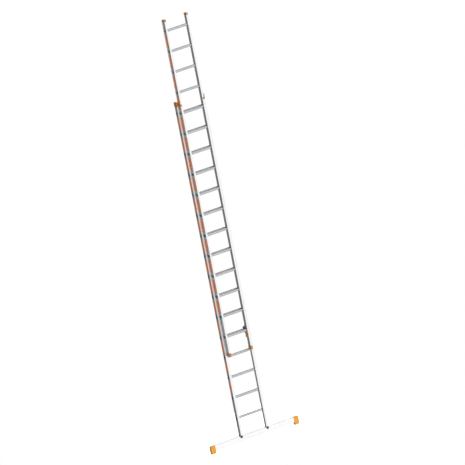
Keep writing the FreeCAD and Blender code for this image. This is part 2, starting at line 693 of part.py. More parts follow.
def base_nodes():
    """The base section with its crossbar, shoes and top guides."""
    nodes = handed("base_stile", make_stile(BASE, guide_rivet_places() + shoe_rivet_places()))
    nodes.update(rung_nodes(BASE))
    nodes.update(handed("base_top_guide", make_top_guide()))
    nodes.update(handed("base_shoe", make_shoe()))
    nodes.update(handed("crossbar_end_cap", make_end_cap()))
    nodes["crossbar"] = [make_crossbar()]
    nodes["crossbar_bolts"] = make_crossbar_bolts()
    nodes["crossbar_washers"] = make_crossbar_washers()
    nodes["crossbar_nuts"] = make_crossbar_nuts()
    nodes["base_rivets"] = rivets(guide_rivet_places() + shoe_rivet_places())
    return nodes


def fly_nodes():
    """The fly section with its caps, foot guides and latches."""
    places = cap_rivet_places() + foot_rivet_places()
    nodes = handed("fly_stile", make_stile(FLY, places + plate_rivet_places()))
    nodes.update(rung_nodes(FLY))
    nodes.update(handed("fly_top_cap", make_fly_cap()))
    nodes.update(handed("fly_foot_guide", make_foot_guide()))
    nodes.update(handed("latch_plate", make_latch_plate()))
    nodes.update(handed("rung_hook", make_hook()))
    nodes.update(handed("safety_catch", make_catch()))
    pins = [make_pin(hook_pivot(), HOOK_THICKNESS), make_pin(catch_pivot(), CATCH_THICKNESS)]
    springs = [make_catch_spring()]
    nodes["latch_pins"] = pins + [mirrored(pin) for pin in pins]
    nodes["catch_springs"] = springs + [mirrored(spring) for spring in springs]
    nodes["fly_rivets"] = rivets(places, plate_rivet_places())
    return nodes


def main():
    """Write one STEP file per node."""
    os.makedirs("parts", exist_ok=True)
    nodes = base_nodes()
    nodes.update(fly_nodes())
    for name, solids in nodes.items():
        shape = solids[0] if len(solids) == 1 else Part.makeCompound(solids)
        box_now = shape.BoundBox
        print(f"{name}: {len(shape.Solids)} solids, valid {shape.isValid()}, {shape.Volume:.0f} mm3, "
              f"z {box_now.ZMin:.1f} to {box_now.ZMax:.1f}")
        shape.exportStep(f"parts/{name}.step")
    print(len(nodes), "nodes")


main()
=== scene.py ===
"""Looks of a two-part push-up extension ladder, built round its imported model.

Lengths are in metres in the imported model's frame: +Z runs up the stiles, +X along the rungs and
-Y towards the climber.
"""
import json
import logging
import math
from dataclasses import dataclass
from enum import Enum

import bmesh
import bpy
from mathutils import Matrix, Vector


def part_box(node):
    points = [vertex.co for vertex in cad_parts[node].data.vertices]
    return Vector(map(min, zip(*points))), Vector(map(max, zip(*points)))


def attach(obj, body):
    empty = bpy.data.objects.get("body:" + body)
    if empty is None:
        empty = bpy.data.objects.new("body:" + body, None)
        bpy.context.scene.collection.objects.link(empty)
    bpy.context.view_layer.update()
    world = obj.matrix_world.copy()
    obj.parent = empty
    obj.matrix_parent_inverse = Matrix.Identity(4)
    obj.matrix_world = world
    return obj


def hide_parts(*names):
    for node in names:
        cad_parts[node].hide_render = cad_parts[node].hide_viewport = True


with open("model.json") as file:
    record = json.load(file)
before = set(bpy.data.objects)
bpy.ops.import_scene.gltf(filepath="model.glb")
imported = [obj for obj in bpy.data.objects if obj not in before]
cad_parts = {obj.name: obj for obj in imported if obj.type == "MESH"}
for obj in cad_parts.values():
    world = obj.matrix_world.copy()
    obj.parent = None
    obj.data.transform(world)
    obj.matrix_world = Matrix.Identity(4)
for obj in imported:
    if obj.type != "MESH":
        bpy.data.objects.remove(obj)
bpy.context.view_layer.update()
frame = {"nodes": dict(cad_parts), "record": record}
LOG = logging.getLogger("ladder")
MM = 0.001
LIP_REACH = 8.0 * MM
UP = Vector((0.0, 0.0, 1.0))
OUTWARD = Vector((1.0, 0.0, 0.0))
REARWARD = Vector((0.0, 1.0, 0.0))
WHITE = (1.0, 1.0, 1.0)
EVEN = (1.0, 1.0, 1.0)
Colour = tuple[float, float, float]


class Side(Enum):
    """Left or right half of the ladder, as the climber sees it."""

    LEFT = -1
    RIGHT = 1

    @property
    def word(self) -> str:
        """The side's name as the nodes spell it."""
        return self.name.lower()


class Section(Enum):
    """The two sliding sections."""

    BASE = "base"
    FLY = "fly"

    def rungs(self) -> list[str]:
        """Names of the section's rungs, from the bottom up."""
        return sorted(name for name in frame["nodes"] if name.startswith(f"{self.value}_rung_"))


class Grain(Enum):
    """The direction an extrusion was drawn in, as stretches of the pattern along X, Y and Z."""

    ALONG_STILE = (1.0, 1.0, 0.004)
    ALONG_RUNG = (0.02, 1.0, 1.0)


# Shader maths

class Value:
    """A node's output that takes part in Python expressions."""

    def __init__(self, nodes: "Nodes", socket: bpy.types.NodeSocket) -> None:
        """Wraps one output socket of a material's nodes."""
        self.nodes = nodes
        self.socket = socket

    def _math(self, operation: str, first: object, second: object) -> "Value":
        """Adds one Math node.

        Args:
            operation: The Math node's operation.
            first: Its first number or value.
            second: Its second number or value.

        Returns:
            The result as a value.
        """
        return self.nodes.add("Math", {"operation": operation}, {0: first, 1: second})

    def __add__(self, other: object) -> "Value":
        """self + other."""
        return self._math("ADD", self, other)

    def __radd__(self, other: object) -> "Value":
        """other + self."""
        return self._math("ADD", other, self)

    def __sub__(self, other: object) -> "Value":
        """self - other."""
        return self._math("SUBTRACT", self, other)

    def __rsub__(self, other: object) -> "Value":
        """other - self."""
        return self._math("SUBTRACT", other, self)

    def __mul__(self, other: object) -> "Value":
        """self * other."""
        return self._math("MULTIPLY", self, other)

    def __rmul__(self, other: object) -> "Value":
        """other * self."""
        return self._math("MULTIPLY", other, self)


class Nodes:
    """The nodes of a material or of the world."""

    def __init__(self, tree: bpy.types.NodeTree) -> None:
        """Empties a node tree and takes it over.

        Args:
            tree: The tree to fill.
        """
        self.tree = tree
        tree.nodes.clear()

    def feed(self, socket: bpy.types.NodeSocket, value: object) -> None:
        """Links a value to a socket, or sets the socket to a constant.

        Args:
            socket: The input to feed.
            value: A Value, a number, a colour or a vector.
        """
        if isinstance(value, Value):
            self.tree.links.new(value.socket, socket)
        else:
            socket.default_value = value

    def add(self, kind: str, settings: dict[str, object] | None = None,
            inputs: dict[str | int, object] | None = None, output: str | int | None = 0) -> Value | None:
        """Adds a node of any type.

        Args:
            kind: The node's type without its ShaderNode prefix.
            settings: Properties set first, such as a Math node's operation.
            inputs: Numbers, colours or values by socket.
            output: The output to hand back, or None for a node that has none.

        Returns:
            The chosen output as a value.
        """
        node = self.tree.nodes.new("ShaderNode" + kind)
        for key, setting in (settings or {}).items():
            setattr(node, key, setting)
        for key, value in (inputs or {}).items():
            self.feed(node.inputs[key], value)
        return None if output is None else Value(self, node.outputs[output])

    def place(self, stretch: tuple[float, float, float] = EVEN) -> Value:
        """Object coordinates, stretched along each axis."""
        here = self.add("TexCoord", output="Object")
        return self.add("Mapping", {"vector_type": "POINT"}, {"Vector": here, "Scale": stretch})

    def noise(self, scale: float, stretch: tuple[float, float, float] = EVEN,
              detail: float = 3.0) -> Value:
        """Noise from 0 to 1 over the surface.

        Args:
            scale: Cells per metre.
            stretch: Stretch of the pattern along X, Y and Z.
            detail: Octaves of finer noise.

        Returns:
            The noise as a value.
        """
        return self.add("TexNoise",
                        inputs={"Vector": self.place(stretch), "Scale": scale, "Detail": detail})

    def height(self) -> Value:
        """Height up the ladder in metres, with the sections as they stand at rest."""
        return self.add("SeparateXYZ", inputs={0: self.add("TexCoord", output="Object")}, output="Z")

    def fade(self, value: Value, start: float, end: float) -> Value:
        """A smooth step: 0 at start and 1 at end."""
        settings = {"interpolation_type": "SMOOTHSTEP", "clamp": True}
        return self.add("MapRange", settings, {"Value": value, "From Min": start, "From Max": end})

    def mix(self, factor: Value | float, first: object, second: object) -> Value:
        """Mixes two colours, given as colours or values."""
        ends = [(*end, 1.0) if isinstance(end, tuple) else end for end in (first, second)]
        return self.add("Mix", {"data_type": "RGBA"}, {0: factor, 6: ends[0], 7: ends[1]}, output=2)

    def facing(self, direction: Value, towards: Vector, start: float, end: float) -> Value:
        """How far a direction points a given way.

        Args:
            direction: The direction to test.
            towards: The way it is compared with, of length 1.
            start: Cosine at which the result leaves 0.
            end: Cosine at which it reaches 1.

        Returns:
            A value from 0 to 1.
        """
        cosine = self.add("VectorMath", {"operation": "DOT_PRODUCT"}, {0: direction, 1: towards},
                          output="Value")
        return self.fade(cosine, start, end)

    def bump(self, height: Value, depth: float, strength: float = 1.0) -> Value:
        """A normal from a height pattern of the given depth in metres."""
        return self.add("Bump", inputs={"Height": height, "Distance": depth, "Strength": strength})


class Surface(Nodes):
    """A material round one Principled shader."""

    def __init__(self, name: str) -> None:
        """Starts a material.

        Args:
            name: The material's name.
        """
        self.material = bpy.data.materials.new(name)
        self.material.use_nodes = True
        super().__init__(self.material.node_tree)
        self.shader = self.tree.nodes.new("ShaderNodeBsdfPrincipled")
        output = self.tree.nodes.new("ShaderNodeOutputMaterial")
        self.tree.links.new(self.shader.outputs["BSDF"], output.inputs["Surface"])

    def dress(self, **sockets: object) -> bpy.types.Material:
        """Feeds the shader's sockets, with underscores for spaces, and hands back the material."""
        for key, value in sockets.items():
            name = key.replace("_", " ")
            colour = isinstance(value, tuple) and len(value) == 3
            self.feed(self.shader.inputs[name], (*value, 1.0) if colour else value)
        return self.material


def shaded(colour: Colour, factor: float) -> Colour:
    """The colour made darker or lighter by a factor."""
    return tuple(min(channel * factor, 1.0) for channel in colour)


# Finishes

@dataclass(frozen=True)
class DrawnAluminium:
    """Mill-finish extrusion: fine drawn lines, cloudy oxide and sparse handling scuffs."""

    grain: Grain
    colour: Colour = (0.72, 0.725, 0.73)
    roughness: float = 0.36
    line_pitch: float = 0.7 * MM
    line_share: float = 0.35
    line_shade: float = 0.72
    line_depth: float = 0.02 * MM
    cloud_size: float = 0.16
    cloud_shades: tuple[float, float] = (0.88, 1.06)
    scuff_size: float = 0.02
    scuff_edge: tuple[float, float] = (0.60, 0.72)
    scuff_share: float = 0.30
    scuff_shade: float = 0.80
    polish: float = 0.10
    line_rough: float = 0.12
    cloud_rough: float = 0.10
    scuff_rough: float = 0.14

    def material(self, name: str) -> bpy.types.Material:
        """Builds the material under a name."""
        nodes = Surface(name)
        lines = nodes.noise(1.0 / self.line_pitch, self.grain.value, 4.0)
        clouds = nodes.noise(1.0 / self.cloud_size, detail=5.0)
        scuffs = nodes.fade(nodes.noise(1.0 / self.scuff_size, (1.0, 1.0, 0.5), 6.0), *self.scuff_edge)
        cloudy = nodes.mix(clouds, *(shaded(self.colour, shade) for shade in self.cloud_shades))
        lined = nodes.mix(lines * self.line_share, cloudy, shaded(self.colour, self.line_shade))
        colour = nodes.mix(scuffs * self.scuff_share, lined, shaded(self.colour, self.scuff_shade))
        rough = (self.roughness - self.polish + lines * self.line_rough + clouds * self.cloud_rough
                 + scuffs * self.scuff_rough)
        return nodes.dress(Base_Color=colour, Metallic=1.0, Roughness=rough,
                           Normal=nodes.bump(lines, self.line_depth, 0.6))


@dataclass(frozen=True)
class MouldedPlastic:
    """Injection-moulded plastic: fine grain, flow marks, and floor dirt near the ground."""

    colour: Colour
    roughness: float = 0.42
    grain_size: float = 0.55 * MM
    grain_depth: float = 0.05 * MM
    flow_scale: float = 26.0
    flow_shades: tuple[float, float] = (0.90, 1.08)
    scuff_scale: float = 210.0
    scuff_edge: tuple[float, float] = (0.60, 0.70)
    scuff_share: float = 0.22
    scuff_shade: float = 1.35
    dirt: Colour = (0.09, 0.075, 0.06)
    dirt_share: float = 0.6
    dirt_scale: float = 70.0
    dirt_top: float = 22.0 * MM
    polish: float = 0.06
    flow_rough: float = 0.10
    scuff_rough: float = 0.12
    dirt_rough: float = 0.2

    def material(self, name: str) -> bpy.types.Material:
        """Builds the material under a name."""
        nodes = Surface(name)
        grain = nodes.add("TexVoronoi", {"feature": "SMOOTH_F1"},
                          {"Vector": nodes.place(), "Scale": 1.0 / self.grain_size})
        flow = nodes.noise(self.flow_scale, (1.0, 1.0, 0.35), 4.0)
        scuffs = nodes.fade(nodes.noise(self.scuff_scale, (0.3, 1.0, 1.0), 5.0), *self.scuff_edge)
        low_down = 1.0 - nodes.fade(nodes.height(), 0.0, self.dirt_top)
        dirt = low_down * nodes.noise(self.dirt_scale, detail=5.0)
        body = nodes.mix(flow, *(shaded(self.colour, shade) for shade in self.flow_shades))
        rubbed = nodes.mix(scuffs * self.scuff_share, body, shaded(self.colour, self.scuff_shade))
        colour = nodes.mix(dirt * self.dirt_share, rubbed, self.dirt)
        rough = (self.roughness - self.polish + flow * self.flow_rough + scuffs * self.scuff_rough
                 + dirt * self.dirt_rough)
        return nodes.dress(Base_Color=colour, Roughness=rough,
                           Normal=nodes.bump(grain, self.grain_depth, 0.5))


@dataclass(frozen=True)
class ZincPlate:
    """Zinc-plated steel with a faint crystal spangle."""

    colour: Colour = (0.60, 0.61, 0.63)
    roughness: float = 0.34
    crystal_size: float = 3.0 * MM
    crystal_depth: float = 0.03 * MM
    crystal_shades: tuple[float, float] = (1.10, 0.80)
    stain: Colour = (0.46, 0.43, 0.36)
    stain_scale: float = 55.0
    stain_edge: tuple[float, float] = (0.55, 0.80)
    stain_share: float = 0.35
    crystal_rough: float = 0.14
    stain_rough: float = 0.10

    def material(self, name: str) -> bpy.types.Material:
        """Builds the material under a name."""
        nodes = Surface(name)
        crystals = nodes.add("TexVoronoi", {"feature": "F1"},
                             {"Vector": nodes.place(), "Scale": 1.0 / self.crystal_size}, output="Distance")
        stain = nodes.noise(self.stain_scale, detail=5.0)
        body = nodes.mix(crystals, *(shaded(self.colour, shade) for shade in self.crystal_shades))
        colour = nodes.mix(nodes.fade(stain, *self.stain_edge) * self.stain_share, body, self.stain)
        rough = self.roughness + crystals * self.crystal_rough + stain * self.stain_rough
        return nodes.dress(Base_Color=colour, Metallic=1.0, Roughness=rough,
                           Normal=nodes.bump(crystals, self.crystal_depth, 0.4))


@dataclass(frozen=True)
class PowderCoat:
    """Dark powder coat with orange peel, rubbed through to steel where it works."""

    colour: Colour = (0.075, 0.078, 0.083)
    steel: Colour = (0.42, 0.42, 0.43)
    peel_size: float = 1.1 * MM
    peel_depth: float = 0.04 * MM
    peel_shade: float = 1.5
    rub_scale: float = 160.0
    rub_edge: tuple[float, float] = (0.64, 0.70)
    rub_metal: float = 0.9
    roughness: float = 0.40
    peel_rough: float = 0.12

    def material(self, name: str) -> bpy.types.Material:
        """Builds the material under a name."""
        nodes = Surface(name)
        peel = nodes.noise(1.0 / self.peel_size, detail=2.0)
        rubbed = nodes.fade(nodes.noise(self.rub_scale, (1.0, 0.4, 1.0), 6.0), *self.rub_edge)
        coat = nodes.mix(peel, self.colour, shaded(self.colour, self.peel_shade))
        colour = nodes.mix(rubbed, coat, self.steel)
        rough = self.roughness + peel * self.peel_rough
        return nodes.dress(Base_Color=colour, Metallic=rubbed * self.rub_metal, Roughness=rough,
                           Normal=nodes.bump(peel, self.peel_depth, 0.5))


@dataclass(frozen=True)
class LabelFilm:
    """Plain printed film under a thin gloss, with rubbed patches."""

    colour: Colour = (0.90, 0.235, 0.045)
    worn: Colour = (0.95, 0.62, 0.42)
    wear_share: float = 0.35
    wear_scale: float = 180.0
    wear_edge: tuple[float, float] = (0.60, 0.74)
    fade_scale: float = 9.0
    fade_shades: tuple[float, float] = (0.93, 1.05)
    crease_scale: float = 60.0
    crease_depth: float = 0.08 * MM
    gloss: float = 0.35
    roughness: float = 0.34
    fade_rough: float = 0.08
    wear_rough: float = 0.20

    def material(self, name: str) -> bpy.types.Material:
        """Builds the material under a name."""
        nodes = Surface(name)
        fade = nodes.noise(self.fade_scale, (1.0, 1.0, 0.5), 4.0)
        rub = nodes.fade(nodes.noise(self.wear_scale, (1.0, 1.0, 0.15), 6.0), *self.wear_edge)
        body = nodes.mix(fade, *(shaded(self.colour, shade) for shade in self.fade_shades))
        colour = nodes.mix(rub * self.wear_share, body, self.worn)
        rough = self.roughness + fade * self.fade_rough + rub * self.wear_rough
        creases = nodes.noise(self.crease_scale, (1.0, 1.0, 0.3), 3.0)
        return nodes.dress(Base_Color=colour, Roughness=rough, Coat_Weight=self.gloss,
                           Normal=nodes.bump(creases, self.crease_depth, 0.4))


LABEL_SLOT = "label_film"
AMBER: Colour = (0.75, 0.31, 0.006)
# Darker amber for the guides and the fly's top caps: painted shade, standing in for the shade these small
# pieces sit in.
SHADE_DARKENED_AMBER: Colour = (0.42, 0.165, 0.022)
FINISHES = {
    "stile_aluminium": DrawnAluminium(Grain.ALONG_STILE),
    # The rungs get a darker aluminium than the stiles: painted shade, standing in for the self-shadow of
    # their ribbed, rounded faces.
    "rung_aluminium": DrawnAluminium(Grain.ALONG_RUNG, colour=(0.46, 0.465, 0.47), roughness=0.46),
    "crossbar_aluminium": DrawnAluminium(Grain.ALONG_RUNG, colour=(0.76, 0.765, 0.77), roughness=0.26),
    "rivet_aluminium": DrawnAluminium(Grain.ALONG_RUNG, roughness=0.30, line_pitch=0.3 * MM),
    "guide_plastic": MouldedPlastic(SHADE_DARKENED_AMBER),
    "end_cap_plastic": MouldedPlastic(AMBER),
    "cap_plastic": MouldedPlastic(SHADE_DARKENED_AMBER),
    "catch_plastic": MouldedPlastic(AMBER, roughness=0.36),
    "shoe_plastic": MouldedPlastic((0.022, 0.022, 0.024), roughness=0.50),
    "hook_steel": PowderCoat(),
    "plate_steel": ZincPlate(),
    "zinc_steel": ZincPlate(colour=(0.68, 0.69, 0.71), roughness=0.26, crystal_size=1.6 * MM),
    "spring_steel": ZincPlate(colour=(0.40, 0.40, 0.41), roughness=0.30, crystal_size=0.8 * MM),
    LABEL_SLOT: LabelFilm(),
}


class Finishes:
    """The materials by the record's slots, each built once."""

    def __init__(self) -> None:
        """Builds every finish."""
        self.by_slot = {slot: finish.material(slot) for slot, finish in FINISHES.items()}

    def dress_nodes(self) -> None:
        """Gives every node of the frame its slot's material."""
        for part in frame["record"]["subparts"]:
            mesh = frame["nodes"][part["node"]].data
            mesh.materials.clear()
            mesh.materials.append(self.by_slot[part["material_slot"]])

    def dress(self, piece: bpy.types.Object, slot: str) -> None:
        """Gives a new piece a slot's material."""
        piece.data.materials.append(self.by_slot[slot])


# Mesh shaping

class Plane(Enum):
    """The plane an outline is drawn in, and the axis it is pulled along."""

    XY = 2
    YZ = 0

    def point(self, first: float, second: float, level: float) -> Vector:
        """A point of the plane at a level along its normal."""
        if self is Plane.XY:
            return Vector((first, second, level))
        return Vector((level, first, second))


class Form:
    """A solid shaped with mesh operators, in the ladder's frame."""

    MERGE = 0.002 * MM
    CUT_SNAP = 0.001 * MM
    ALIGNED = 0.999
    CREASE_ANGLE = math.radians(40)
    CORNER_ANGLE = math.radians(60)
    FLAT_ANGLE = math.radians(1)
    ROUNDING_STEPS = 5

    def __init__(self) -> None:
        """Starts with nothing."""
        self.mesh = bmesh.new()

    @classmethod
    def block(cls, low: Vector, high: Vector) -> "Form":
        """A block between two corners."""
        form = cls()
        place = Matrix.Translation((low + high) / 2) @ Matrix.Diagonal((*(high - low), 1.0))
        bmesh.ops.create_cube(form.mesh, size=1.0, matrix=place)
        return form

    @classmethod
    def plate(cls, plane: Plane, corners: list[tuple[float, float, float]], start: float,
              end: float) -> "Form":
        """A plate pulled from an outline.

        Args:
            plane: The plane of the outline.
            corners: The outline's corners as two places and a rounding radius.
            start: Level of one face along the plane's normal.
            end: Level of the other face.

        Returns:
            The closed plate.
        """
        form = cls()
        points = [plane.point(first, second, start) for first, second, _ in corners]
        verts = [form.mesh.verts.new(point) for point in points]
        form.mesh.faces.new(verts)
        for index, vert in enumerate(verts):
            radius = corners[index][2]
            if radius:
                before = points[index - 1] - points[index]
                after = points[(index + 1) % len(points)] - points[index]
                run = radius / math.tan(before.angle(after) / 2)
                bmesh.ops.bevel(form.mesh, geom=[vert], offset=run, offset_type="ABSOLUTE",
                                segments=cls.ROUNDING_STEPS, profile=0.5, affect="VERTICES", material=-1)
        pull = plane.point(0.0, 0.0, end - start)
        grown = bmesh.ops.extrude_face_region(form.mesh, geom=list(form.mesh.faces))
        form._move(grown["geom"], pull)
        bmesh.ops.recalc_face_normals(form.mesh, faces=list(form.mesh.faces))
        return form

    @classmethod
    def eased_copy(cls, node: str) -> "Form":
        """A merged copy of a frame node, with its flat faces joined up."""
        form = cls()
        form.mesh.from_mesh(frame["nodes"][node].data)
        bmesh.ops.remove_doubles(form.mesh, verts=list(form.mesh.verts), dist=cls.MERGE)
        bmesh.ops.dissolve_limit(form.mesh, angle_limit=cls.FLAT_ANGLE, verts=list(form.mesh.verts),
                                 edges=list(form.mesh.edges))
        return form

    def _move(self, geometry: list, offset: Vector) -> None:
        """Moves the vertices among some geometry."""
        verts = [item for item in geometry if isinstance(item, bmesh.types.BMVert)]
        bmesh.ops.translate(self.mesh, verts=verts, vec=offset)

    def _facing(self, normal: Vector, low: Vector | None = None, high: Vector | None = None) -> list:
        """Faces that look along a normal, with their centres between two corners if given."""
        found = []
        for face in self.mesh.faces:
            centre = face.calc_center_median()
            inside = low is None or all(low[axis] <= centre[axis] <= high[axis] for axis in range(3))
            if inside and face.normal.dot(normal) > self.ALIGNED:
                found.append(face)
        return found

    def _split(self, faces: list, axis: int, place: float) -> None:
        """Cuts some faces along a plane square to an axis."""
        square = Vector((0.0, 0.0, 0.0))
        square[axis] = 1.0
        geometry = faces + list({edge for face in faces for edge in face.edges})
        geometry += list({vert for face in faces for vert in face.verts})
        bmesh.ops.bisect_plane(self.mesh, geom=geometry, dist=self.CUT_SNAP, plane_co=square * place,
                               plane_no=square)

    def push(self, normal: Vector, low: Vector, high: Vector, distance: float) -> None:
        """Pushes a window of a flat face out as a boss, or in as a pocket.

        Args:
            normal: The way the face looks.
            low: Lowest corner of the window, a little behind the face.
            high: Highest corner of the window, a little before the face.
            distance: How far out, or in where it is negative.
        """
        across = [axis for axis in range(3) if abs(normal[axis]) < 0.5]
        level = [axis for axis in range(3) if abs(normal[axis]) > 0.5][0]
        for axis in across:
            for place in (low[axis], high[axis]):
                faces = [face for face in self._facing(normal)
                         if low[level] <= face.calc_center_median()[level] <= high[level]]
                self._split(faces, axis, place)
        window = self._facing(normal, low, high)
        grown = bmesh.ops.extrude_face_region(self.mesh, geom=window)
        self._move(grown["geom"], normal * distance)
        bmesh.ops.delete(self.mesh, geom=[face for face in window if face.is_valid], context="FACES_ONLY")

    def recess(self, normal: Vector, low: Vector, high: Vector, border: float, depth: float) -> None:
        """Sinks a panel with sloping sides inside the faces of a window."""
        faces = self._facing(normal, low, high)
        bmesh.ops.inset_region(self.mesh, faces=faces, thickness=border, use_even_offset=True)
        bmesh.ops.inset_region(self.mesh, faces=faces, thickness=abs(depth) / 2, depth=-depth,
                               use_even_offset=True)

    def grooves(self, normal: Vector, low: Vector, high: Vector, axis: int, count: int, border: float,
                depth: float) -> None:
        """Cuts parallel grooves into a face.

        Args:
            normal: The way the face looks.
            low: Lowest corner of the window that holds the face's centre.
            high: Highest corner of that window.
            axis: The axis across the grooves.
            count: How many grooves.
            border: Plain border round them.
            depth: Their depth.
        """
        faces = self._facing(normal, low, high)
        bmesh.ops.inset_region(self.mesh, faces=faces, thickness=border, use_even_offset=True)
        places = [vert.co[axis] for face in faces for vert in face.verts]
        start, step = min(places), (max(places) - min(places)) / (2 * count + 1)
        pieces = list(faces)
        for index in range(1, 2 * count + 1):
            self._split(pieces, axis, start + index * step)
            pieces = self._facing(normal, low, high)
        for index in range(count):
            middle = start + (2 * index + 1.5) * step
            band = [face for face in self._facing(normal, low, high)
                    if abs(face.calc_center_median()[axis] - middle) < step / 3
                    and face.calc_area() > 0 and self._span(face, axis) < step * 1.01]
            bmesh.ops.inset_region(self.mesh, faces=band, thickness=depth / 4, depth=-depth,
                                   use_even_offset=True)

    @staticmethod
    def _span(face: bmesh.types.BMFace, axis: int) -> float:
        """The face's extent along an axis."""
        places = [vert.co[axis] for vert in face.verts]
        return max(places) - min(places)

    def round_along(self, axis: int, radius: float) -> None:
        """Rounds the sharp edges that run along an axis."""
        chosen = []
        for edge in self.mesh.edges:
            run = (edge.verts[1].co - edge.verts[0].co).normalized()
            along = abs(run[axis]) > self.ALIGNED
            if along and edge.is_manifold and edge.calc_face_angle() > self.CORNER_ANGLE:
                chosen.append(edge)
        bmesh.ops.bevel(self.mesh, geom=chosen, offset=radius, offset_type="OFFSET",
                        segments=self.ROUNDING_STEPS, profile=0.5, affect="EDGES", material=-1,
                        clamp_overlap=True)

    def soften(self, width: float, segments: int = 2, angle: float = 35.0) -> None:
        """Eases every edge that is sharper than an angle in degrees."""
        bmesh.ops.remove_doubles(self.mesh, verts=list(self.mesh.verts), dist=self.MERGE)
        sharp = [edge for edge in self.mesh.edges
                 if edge.is_manifold and edge.calc_face_angle() > math.radians(angle)]
        bmesh.ops.bevel(self.mesh, geom=sharp, offset=width, offset_type="OFFSET", segments=segments,
                        profile=0.5, affect="EDGES", material=-1, clamp_overlap=True)

    def join(self, other: "Form") -> None:
        """Adds another solid to this one."""
        spare = bpy.data.meshes.new("spare")
        other.mesh.to_mesh(spare)
        other.mesh.free()
        self.mesh.from_mesh(spare)
        bpy.data.meshes.remove(spare)

    def piece(self, name: str, side: Side) -> bpy.types.Object:
        """Turns the solid into an object, mirrored for the left-hand side.

        Args:
            name: The object's name.
            side: The side it belongs to; the solid is shaped for the right.

        Returns:
            The object, at the origin, linked to the scene.
        """
        if side is Side.LEFT:
            bmesh.ops.scale(self.mesh, verts=list(self.mesh.verts), vec=(-1.0, 1.0, 1.0))
            bmesh.ops.reverse_faces(self.mesh, faces=list(self.mesh.faces))
        loose = sum(not edge.is_manifold for edge in self.mesh.edges)
        for face in self.mesh.faces:
            face.smooth = True
        for edge in self.mesh.edges:
            edge.smooth = not edge.is_manifold or edge.calc_face_angle() < self.CREASE_ANGLE
        data = bpy.data.meshes.new(name)
        self.mesh.to_mesh(data)
        self.mesh.free()
        piece = bpy.data.objects.new(name, data)
        bpy.context.scene.collection.objects.link(piece)
        LOG.info("%s: %d faces, %d open edges", name, len(data.polygons), loose)
        return piece


def corner(x: float, y: float, z: float) -> Vector:
    """A corner of a window or block."""
    return Vector((x, y, z))


def rail(section: Section) -> tuple[Vector, Vector]:
    """Corners of the section's right-hand stile box, with its guide lip left out."""
    low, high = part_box(f"{section.value}_stile_right")
    if section is Section.BASE:
        return low + OUTWARD * LIP_REACH, high
    return low, high - OUTWARD * LIP_REACH


# Moulded pieces, each shaped for the right-hand side

@dataclass
class EndCap:
    """Crossbar end cap: a sleeve on the bar whose lower half is the ladder's foot."""

    long_edge: float = 6.0 * MM
    edge: float = 0.9 * MM
    pocket_depth: float = 53.0 * MM
    tread_border: float = 4.0 * MM
    tread_depth: float = 3.0 * MM
    treads: int = 5
    panel_border: float = 9.0 * MM
    panel_depth: float = 1.4 * MM

    def shape(self) -> Form:
        """Shapes the cap round the end of the crossbar."""
        low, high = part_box("crossbar_end_cap_right")
        bar_low, bar_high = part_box("crossbar")
        form = Form.block(low, high)
        form.round_along(0, self.long_edge)
        near, far = low - Vector.Fill(3, MM), high + Vector.Fill(3, MM)
        form.push(-OUTWARD, corner(near.x, bar_low.y, bar_low.z),
                  corner(low.x + MM, bar_high.y, bar_high.z), -self.pocket_depth)
        form.grooves(-UP, near, corner(far.x, far.y, low.z + MM), 0, self.treads, self.tread_border,
                     self.tread_depth)
        for way, y in ((-1.0, low.y), (1.0, high.y)):
            form.recess(way * REARWARD, corner(near.x, y - MM, near.z), corner(far.x, y + MM, far.z),
                        self.panel_border, self.panel_depth)
        form.soften(self.edge)
        return form


@dataclass
class TopCap:
    """Cap on top of a fly stile, notched for the guide lip."""

    corner: float = 3.0 * MM
    edge: float = 0.8 * MM
    border: float = 3.5 * MM
    crown: float = 0.8 * MM
    lip: float = 3.3 * MM
    skirt: float = 20.0 * MM
    fit: float = 0.2 * MM

    def shape(self) -> Form:
        """Shapes the cap over the top of the fly stile."""
        low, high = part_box("fly_top_cap_right")
        stile_low, stile_high = rail(Section.FLY)
        lip_front = stile_high.y - self.lip
        outline = [(low.x, low.y, self.corner), (high.x, low.y, self.corner), (high.x, lip_front, 0.0),
                   (stile_high.x, lip_front, 0.0), (stile_high.x, high.y, 0.0), (low.x, high.y, self.corner)]
        form = Form.plate(Plane.XY, outline, low.z, high.z)
        form.push(-UP, corner(stile_low.x, stile_low.y, low.z - MM),
                  corner(stile_high.x - self.fit, stile_high.y, low.z + MM), -self.skirt)
        form.recess(UP, corner(low.x, low.y, high.z - MM), corner(high.x, high.y, high.z + MM), self.border,
                    self.crown)
        form.soften(self.edge)
        return form


